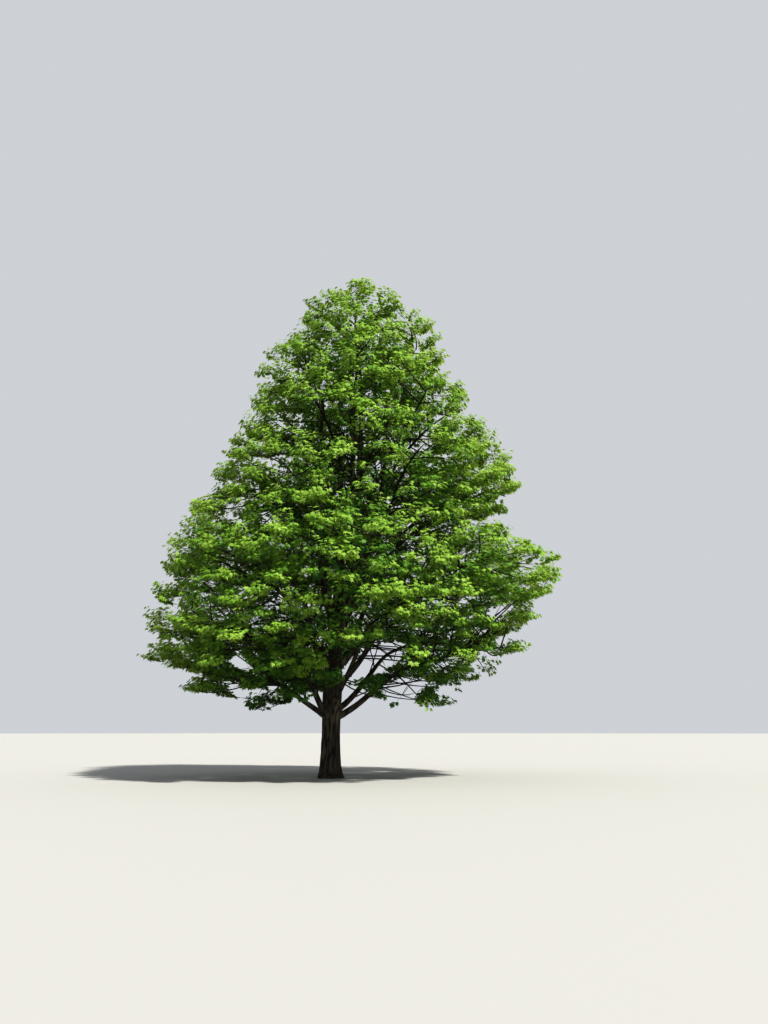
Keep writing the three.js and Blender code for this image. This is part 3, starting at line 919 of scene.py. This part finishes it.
def barkMaterial(name, grain=None):
    # on the trunk and limbs it follows their grain; on twigs it is even
    paint = Paint(name)
    b = barkFinish
    if grain:
        relief = paint.node("ShaderNodeAttribute", {"attribute_name": "relief"}, output="Fac")
        along = paint.node("ShaderNodeAttribute", {"attribute_name": grain}, output="Vector")
        along = paint.node("ShaderNodeMapping", {}, {"Vector": along, "Scale": b["stretch"]})
    else:
        relief = b["twigRelief"]
        along = paint.place()
    fine = paint.noise(along, *b["fine"])
    streaks = paint.noise(along, *b["streaks"])
    patches = paint.noise(paint.place(), *b["patches"])
    damp = paint.noise(paint.place(), *b["damp"])
    # darker where the relief is low, which is painted shade in the furrows, mixed with the fine grain
    share = paint.ramp(fine * 0.45 + relief * 0.55, b["ridgeStops"])
    colour = paint.blend(share, b["furrow"], b["ridge"])
    colour = paint.blend(paint.ramp(streaks, b["weatheredStops"]) * share, colour, b["weathered"])
    colour = paint.blend(paint.ramp(patches, b["darkStops"]), colour, b["dark"])
    colour = paint.blend(paint.ramp(damp, b["mossyStops"]), colour, b["mossy"])
    bump = paint.node("ShaderNodeBump", {}, {
        "Strength": b["bump"], "Distance": b["bumpDepth"], "Height": fine,
    })
    shader = paint.node("ShaderNodeBsdfPrincipled", {}, {
        "Base Color": colour,
        "Roughness": b["roughness"] - share * 0.12,
        "Normal": bump,
        "Specular IOR Level": b["specular"],
    })
    return paint.finish(shader)


leafFinish = {
    "broad": (0.8, 2),  # scale and detail
    "fine": (14, 2),
    "deeper": 0.72,  # the darker of its two shades, as a share of the lighter one
    "shadeStops": [(0.35, 0.0), (0.7, 1.0)],
    "roughness": 0.45,
    "specular": 0.3,
    "through": 0.32,
}


def leafMaterial(name, base, glow):
    paint = Paint(name)
    broad = paint.noise(paint.place(), *leafFinish["broad"])
    fine = paint.noise(paint.place(), *leafFinish["fine"])
    deeper = tuple(leafFinish["deeper"] * channel for channel in base[:3]) + (1,)
    share = paint.ramp(broad * 0.5 + fine * 0.5, leafFinish["shadeStops"])
    face = paint.node("ShaderNodeBsdfPrincipled", {}, {
        "Base Color": paint.blend(share, deeper, base),
        "Roughness": leafFinish["roughness"] + fine * 0.15,
        "Specular IOR Level": leafFinish["specular"],
    })
    through = paint.node("ShaderNodeBsdfTranslucent", {}, {"Color": glow})
    shader = paint.node("ShaderNodeMixShader", {}, {
        "Fac": leafFinish["through"], 1: face, 2: through,
    })
    return paint.finish(shader)


# base colour and glow, from the sunny outside of the crown to the shade inside it: partly the leaves' own
# colour, yellower young leaves outside and deeper green shade leaves inside, and partly painted sunlight
# and painted shade, as lit and shaded copies of one leaf
leafTones = [
    ("leaves_lime", rgba(0.296, 0.446, 0.084), rgba(0.46, 0.62, 0.092)),
    ("leaves_fresh_sunlit", rgba(0.254, 0.412, 0.068), rgba(0.42, 0.58, 0.075)),
    ("leaves_bright", rgba(0.214, 0.376, 0.055), rgba(0.37, 0.54, 0.058)),
    ("leaves_green", rgba(0.170, 0.330, 0.043), rgba(0.30, 0.48, 0.046)),
    ("leaves_deep", rgba(0.118, 0.258, 0.036), rgba(0.22, 0.39, 0.04)),
    ("leaves_shade", rgba(0.070, 0.178, 0.029), rgba(0.14, 0.29, 0.034)),
]

twigParts = [
    tubes(stems, stemRule), tubes(arms, armRule), tubes(branches, branchRule), tubes(shoots, shootRule),
]
twigs = meshPiece("twigs", twigParts, barkMaterial("twig_bark"))
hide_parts(*massNodes)


# Leaves: five-lobed blades on thin stalks, in opposite pairs along every shoot and three at its tip

leafShape = {
    "size": (0.12, 0.172), "stalk": (0.04, 0.08),
    "pairs": 3, "firstPair": 0.45,
    "forward": (0.3, 1.0), "rise": (-0.2, 0.5), "tipScatter": 0.2,
    "droop": (0.2, 0.9),
    "faceClump": 0.8,  # away from the middle of its tuft
    "faceUp": 0.35, "faceOut": 0.5, "faceScatter": 0.3,
    "curl": 0.09, "curlScatter": (0.3, 1.6),
    "reachShare": 1.1,  # of the reach of the twigs
    "margin": 0.3, "toneScatter": 0.22,
}

# across, along and out of the blade, in blade lengths: tips and notches in turn, then the stalk's end
blade = np.array([
    (0.36, -0.02, -1.0), (0.24, 0.22, 0), (0.54, 0.54, -1), (0.19, 0.52, 0.2), (0, 1, -1),
    (-0.19, 0.52, 0.2), (-0.54, 0.54, -1), (-0.24, 0.22, 0), (-0.36, -0.02, -1.0),
    (-0.03, 0.1, 0), (0.03, 0.1, 0),
])
leafFaces = np.array([  # of the blade, and last the stalk's, whose third corner is on the twig
    (0, 1, 8), (1, 7, 8), (1, 2, 3), (1, 3, 7), (3, 5, 7), (3, 4, 5), (5, 6, 7), (11, 10, 9),
])


def growLeaves():
    chance = np.random.default_rng(seeds["leaves"])
    sets = []
    count = len(shoots["number"])
    for pair in range(leafShape["pairs"]):
        t = np.full(count, mix(leafShape["firstPair"], 1.0, pair / (leafShape["pairs"] - 1)))
        along = pieceHeading(shoots, t)
        side = squareTo(along)[0]
        for hand in (-1, 1):
            forward = chance.uniform(*leafShape["forward"], (count, 1))
            rise = chance.uniform(*leafShape["rise"], (count, 1))
            stalk = unit(along * forward + side * hand + upward * rise)
            sets.append((pieceAt(shoots, t), stalk, np.arange(count)))
    stalk = unit(along + chance.normal(0, leafShape["tipScatter"], (count, 3)))
    sets.append((shoots["end"], stalk, np.arange(count)))
    roots, stalks, owners = (np.concatenate(column) for column in zip(*sets))
    count = len(roots)
    numbers = shoots["number"][owners]
    size = chance.uniform(*leafShape["size"], (count, 1))
    foot = roots + stalks * chance.uniform(*leafShape["stalk"], (count, 1))
    face = unit(foot - clumps[shoots["owner"][owners]]) * leafShape["faceClump"]
    face = face + upward * leafShape["faceUp"] + crownOutwards(foot) * leafShape["faceOut"]
    face = unit(face + chance.normal(0, leafShape["faceScatter"], (count, 3)))
    along = stalks - upward * chance.uniform(*leafShape["droop"], (count, 1))
    along = unit(along - face * dot(face, along))
    side = np.cross(along, face)
    tips = foot + along * size
    keep = nearOwnMass(numbers, tips, crownShape["reachOver"] * leafShape["reachShare"])
    keep &= inOutline(tips, leafShape["margin"])
    curl = leafShape["curl"] * chance.uniform(*leafShape["curlScatter"], (count, 1))
    corners = [foot + size * (side * x + along * y + face * z * curl) for x, y, z in blade]
    points = np.stack(corners + [roots], axis=1)
    return points[keep], owners[keep]


def dealTones(owners):
    # shoots are ranked by the foliage that covers them, and every tone gets about as many leaves
    chance = np.random.default_rng(seeds["tones"])
    # the more foliage covers a shoot, the darker its tone: painted shade, over the deeper green of leaves
    # grown in shade
    rank = shoots["cover"] / crownShape["coverDeepest"]
    rank = rank + chance.normal(0, leafShape["toneScatter"], len(rank))
    ranked = np.argsort(np.argsort(rank[owners], kind="stable"), kind="stable")
    return ranked * len(leafTones) // len(owners)


leafPoints, leafOwners = growLeaves()
leafTone = dealTones(leafOwners)
for number, (name, base, glow) in enumerate(leafTones):
    points = leafPoints[leafTone == number]
    starts = np.arange(len(points))[:, None, None] * len(leafPoints[0])
    triangles = (leafFaces[None] + starts).reshape(-1, 3)
    paint = leafMaterial(name, base, glow)
    piece = meshPiece(name, [(points.reshape(-1, 3), triangles)], paint, shadeSmooth=False)
    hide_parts(*massNodes)
print("leaves grown:", len(leafPoints))


# Trunk and limbs, modelled ring by ring and given the bark's relief

limbModel = {
    "sides": 8, "rings": 15, "levels": 2,
    "crowding": 1.4,  # of the rings towards the root
    "collar": 0.3, "collarFrom": 1.5,  # swelling where it leaves its host, in its own radii
    "collarLength": 0.16,
    "samples": 120,
    "relief": 0.045,  # of its radius
}

trunkModel = {
    "sides": 20,
    "heights": (-0.1, 0.0, 0.12, 0.3, 0.6, 1.1, 1.7, 2.2, 2.7, 3.2, 3.7, 4.1, 4.3),
    "stubSides": 12, "stubRings": 6, "stubLength": {"bough": 1.1, "leader": 1.9},
    "stubRadius": (1.3, 0.8),  # at its start and end, of the limb's own
    "voxel": 0.0165, "smoothing": 12,
    "samples": 40,
    "relief": 0.011,
}

barkRelief = {
    "wide": 0.085, "long": 0.55,  # between two furrows
    "furrow": 0.2,
    "fineWide": 0.03, "fineLong": 0.16, "fineShare": 0.25,
    "level": 0.8,  # the relief that leaves the surface where it is
}


def selectOnly(*pieces):
    bpy.ops.object.select_all(action="DESELECT")
    for piece in pieces:
        piece.select_set(True)
    bpy.context.view_layer.objects.active = pieces[0]


def editWhole():
    bpy.ops.object.mode_set(mode="EDIT")
    bpy.ops.mesh.select_all(action="SELECT")


def ringByRing(name, middles, headings, radii, sides):
    # a circle is drawn out ring by ring: moved, turned square to the limb, and resized
    bpy.ops.object.select_all(action="DESELECT")
    facing = Vector(headings[0]).to_track_quat("Z", "Y").to_euler()
    bpy.ops.mesh.primitive_circle_add(
        vertices=sides, radius=radii[0], location=middles[0], rotation=facing,
    )
    piece = bpy.context.object
    piece.name = name
    bpy.ops.object.transform_apply(location=True, rotation=True, scale=True)
    editWhole()
    for i in range(1, len(middles)):
        move = Vector(middles[i]) - Vector(middles[i - 1])
        turn = Vector(headings[i - 1]).rotation_difference(Vector(headings[i])).to_euler()
        grow = radii[i] / radii[i - 1]
        bpy.ops.mesh.extrude_region_move(TRANSFORM_OT_translate={"value": move})
        for axis, angle in zip("XYZ", turn):
            bpy.ops.transform.rotate(value=-angle, orient_axis=axis, center_override=middles[i])
        bpy.ops.transform.resize(value=(grow, grow, grow), center_override=middles[i])
    bpy.ops.object.mode_set(mode="OBJECT")
    return piece


def addModifier(piece, kind, **settings):
    selectOnly(piece)
    modifier = piece.modifiers.new(kind.title(), kind)
    for key, value in settings.items():
        setattr(modifier, key, value)
    bpy.ops.object.modifier_apply(modifier=modifier.name)


def closeEnds(piece):
    selectOnly(piece)
    editWhole()
    bpy.ops.mesh.fill_holes(sides=0)
    bpy.ops.mesh.select_all(action="SELECT")
    bpy.ops.mesh.normals_make_consistent(inside=False)
    bpy.ops.object.mode_set(mode="OBJECT")


def readPoints(piece, what="co"):
    values = np.empty(len(piece.data.vertices) * 3, np.float32)
    piece.data.vertices.foreach_get(what, values)
    return values.reshape(-1, 3).astype(float)


def writePoints(piece, points):
    piece.data.vertices.foreach_set("co", points.astype(np.float32).ravel())
    piece.data.update()


def limbFrames(middles, headings):
    side = unit(np.cross(headings, upward) + (1e-6, 0, 0))
    along = np.cumsum(np.r_[0, lengthOf(np.diff(middles, axis=0))])
    return side, np.cross(side, headings), along


def barkPlaces(points, limb, samples, upTo=1.0):
    # each point's place on a limb: across, upwards and along it, then its distance from the limb's
    # middle, in radii
    t = np.linspace(0, upTo, samples)
    middles, headings = limbPoint(limb, t), limbHeading(limb, t)
    side, rise, along = limbFrames(middles, headings)

    def measure(block):
        return np.argmin(lengthOf(block[:, None] - middles), axis=1)

    nearest = inBlocks(points, 4000, measure)
    offset = points - middles[nearest]
    place = np.stack([
        np.sum(offset * side[nearest], axis=1), np.sum(offset * rise[nearest], axis=1),
        along[nearest] + np.sum(offset * headings[nearest], axis=1),
    ], axis=1)
    return place, lengthOf(offset) / limbRadius(limb, t[nearest])


def giveRelief(piece, places, depth):
    # flat-topped ridges with narrow furrows between them
    b = barkRelief
    wide = places / (b["wide"], b["wide"], b["long"])
    fine = places / (b["fineWide"], b["fineWide"], b["fineLong"])
    furrows = np.array([noise.noise(place) for place in wide])
    grain = np.array([noise.noise(place) for place in fine])
    relief = 1 - np.exp(-((furrows / b["furrow"]) ** 2))
    relief = np.clip(relief * (1 - b["fineShare"]) + b["fineShare"] * (0.5 + 0.5 * grain), 0, 1)
    outwards = (relief - b["level"]) * depth
    points = readPoints(piece) + readPoints(piece, "normal") * outwards[:, None]
    writePoints(piece, points)
    # the relief is also kept for the bark's colour, which paints shade into the furrows
    kept = piece.data.attributes.new("relief", "FLOAT", "POINT")
    kept.data.foreach_set("value", relief.astype(np.float32))
    kept = piece.data.attributes.new("grain", "FLOAT_VECTOR", "POINT")
    kept.data.foreach_set("vector", places.astype(np.float32).ravel())


def widened(radii, sides):
    # subdivision draws a ring in by this much
    return radii / ((2 + math.cos(2 * math.pi / sides)) / 3)


def modelLimb(limb):
    t = np.linspace(0, 1, limbModel["rings"]) ** limbModel["crowding"]
    middles = limbPoint(limb, t)
    away = lengthOf(middles - middles[0])
    away = np.maximum(0, away - limbModel["collarFrom"] * limb["radius"])
    swelling = np.exp(-away / limbModel["collarLength"])
    if middles[0][2] < trunkShape["forkHeight"]:
        swelling = 0  # the trunk's own stubs make these collars
    sides = limbModel["sides"]
    radii = widened(limbRadius(limb, t) * (1 + limbModel["collar"] * swelling), sides)
    piece = ringByRing(limb["name"] + "_bark", middles, limbHeading(limb, t), radii, sides)
    addModifier(piece, "SUBSURF", levels=limbModel["levels"], render_levels=limbModel["levels"])
    closeEnds(piece)
    places = barkPlaces(readPoints(piece), limb, limbModel["samples"])[0]
    giveRelief(piece, places, limbModel["relief"] * limb["radius"])
    return piece


def modelStub(limb):
    # a limb's root, which widens into the trunk and ends hidden inside the limb
    reach = trunkModel["stubLength"][limb["kind"]]
    upTo = reach / lengthOf(limb["bend"][3] - limb["bend"][0])
    t = np.linspace(0, upTo, trunkModel["stubRings"])
    radii = limbRadius(limb, t) * np.linspace(*trunkModel["stubRadius"], len(t))
    places, headings = limbPoint(limb, t), limbHeading(limb, t)
    stub = ringByRing(limb["name"] + "_root", places, headings, radii, trunkModel["stubSides"])
    closeEnds(stub)
    return stub, upTo


def addButtresses(points):
    # the lobes of the root flare
    s = trunkShape
    angle = np.arctan2(points[:, 1], points[:, 0])
    lobes = s["flare"] * s["buttressShare"] * np.cos(s["buttresses"] * angle)
    lobes = lobes * np.exp(-np.maximum(points[:, 2], 0) / s["flareHeight"])
    points[:, 0] += np.cos(angle) * lobes
    points[:, 1] += np.sin(angle) * lobes


def trunkPlaces(points, rooted, stubs):
    # the bark follows the trunk or a stub, whichever a point is nearer to for its thickness
    fork = trunkShape["forkHeight"]
    places = points - trunkMiddle(points[:, 2]) * (1, 1, 0)
    least = np.hypot(places[:, 0], places[:, 1]) / trunkRadius(np.clip(points[:, 2], 0, fork))
    least = least + 4 * np.maximum(0, points[:, 2] - fork)
    for limb, (stub, upTo) in zip(rooted, stubs):
        near = points[:, 2] > limb["bend"][0][2] - 0.2
        stubPlaces, distance = barkPlaces(points[near], limb, trunkModel["samples"], upTo)
        nearer = distance < least[near]
        index = np.where(near)[0][nearer]
        places[index] = stubPlaces[nearer]
        least[index] = distance[nearer]
    return places


def modelTrunk():
    heights = np.array(trunkModel["heights"])
    radii = widened(trunkRadius(np.maximum(heights, 0)), trunkModel["sides"])
    headings = np.tile(upward, (len(heights), 1))
    trunk = ringByRing("trunk_bark", trunkMiddle(heights), headings, radii, trunkModel["sides"])
    addModifier(trunk, "SUBSURF", levels=1, render_levels=1)
    closeEnds(trunk)
    rooted = [limb for limb in limbs if limb["bend"][0][2] < trunkShape["forkHeight"]]
    stubs = [modelStub(limb) for limb in rooted]
    selectOnly(trunk, *[stub for stub, upTo in stubs])
    bpy.ops.object.join()
    addModifier(trunk, "REMESH", mode="VOXEL", voxel_size=trunkModel["voxel"])
    addModifier(trunk, "SMOOTH", factor=0.5, iterations=trunkModel["smoothing"])
    points = readPoints(trunk)
    addButtresses(points)
    writePoints(trunk, points)
    giveRelief(trunk, trunkPlaces(points, rooted, stubs), trunkModel["relief"])
    selectOnly(trunk)
    editWhole()
    bpy.ops.mesh.bisect(plane_co=(0, 0, 0), plane_no=(0, 0, 1), use_fill=True, clear_inner=True)
    bpy.ops.object.mode_set(mode="OBJECT")
    return trunk


def finishBark(piece, name, nodes, material):
    piece.name = name
    piece.data.name = name
    piece.data.materials.clear()
    piece.data.materials.append(material)
    selectOnly(piece)
    bpy.ops.object.shade_smooth()
    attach(piece, "root")
    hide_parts(*nodes)
    print("  ", name, sum(len(face.vertices) - 2 for face in piece.data.polygons), "triangles")


barkPaint = barkMaterial("bark", "grain")
finishBark(modelTrunk(), "trunk_bark", ["trunk"], barkPaint)
limbPieces = [modelLimb(limb) for limb in limbs]
selectOnly(*limbPieces)
bpy.ops.object.join()
finishBark(limbPieces[0], "limb_bark", [limb["name"] for limb in limbs], barkPaint)
print("trunk and limbs modelled")


# Camera, light and floor

view = {
    "place": (1.819, -34.82, 1.6),
    "pitch": 12.265,
    "lens": 35.156,  # on a 36 mm sensor, along the image's height
}
camera = addObject("camera", bpy.data.cameras.new("camera"))
camera.location = view["place"]
camera.rotation_euler = ((90 + view["pitch"]) * degree, 0, 0)
camera.data.lens = view["lens"]
camera.data.sensor_width = 36
camera.data.clip_end = 2000
bpy.context.scene.camera = camera

light = {
    "sunFrom": (0.55, -0.68, 1.0),
    "sunStrength": 4.85,
    "sunAngle": 4,
    "sunColour": (1.0, 0.965, 0.9),
    "skyStrength": 0.46,
    "skyColour": (0.93, 0.96, 1.0),
    "exposure": 0.7,
    "gamma": 0.74,
}
sun = addObject("sun", bpy.data.lights.new("sun", "SUN"))
sun.rotation_euler = Vector(light["sunFrom"]).to_track_quat("Z", "Y").to_euler()
sun.data.energy = light["sunStrength"]
sun.data.angle = light["sunAngle"] * degree
sun.data.color = light["sunColour"]

world = bpy.data.worlds.new("studio")
world.use_nodes = True
sky = world.node_tree.nodes["Background"].inputs
sky["Color"].default_value = (*light["skyColour"], 1)
sky["Strength"].default_value = light["skyStrength"]
bpy.context.scene.world = world
shown = bpy.context.scene.view_settings
shown.view_transform = "Standard"
shown.exposure = light["exposure"]
shown.gamma = light["gamma"]

floorShape = {"radius": 400, "colour": rgba(0.34, 0.34, 0.33)}
bpy.ops.object.select_all(action="DESELECT")
bpy.ops.mesh.primitive_circle_add(vertices=96, radius=floorShape["radius"], fill_type="NGON")
floor = bpy.context.object
floor.name = "floor"
floorPaint = Paint("floor")
speckle = floorPaint.noise(floorPaint.place(), 3, 4)
floorShader = floorPaint.node("ShaderNodeBsdfPrincipled", {}, {
    "Base Color": floorShape["colour"], "Roughness": 0.85 + speckle * 0.1,
})
floor.data.materials.append(floorPaint.finish(floorShader))
print("camera, light and floor set")
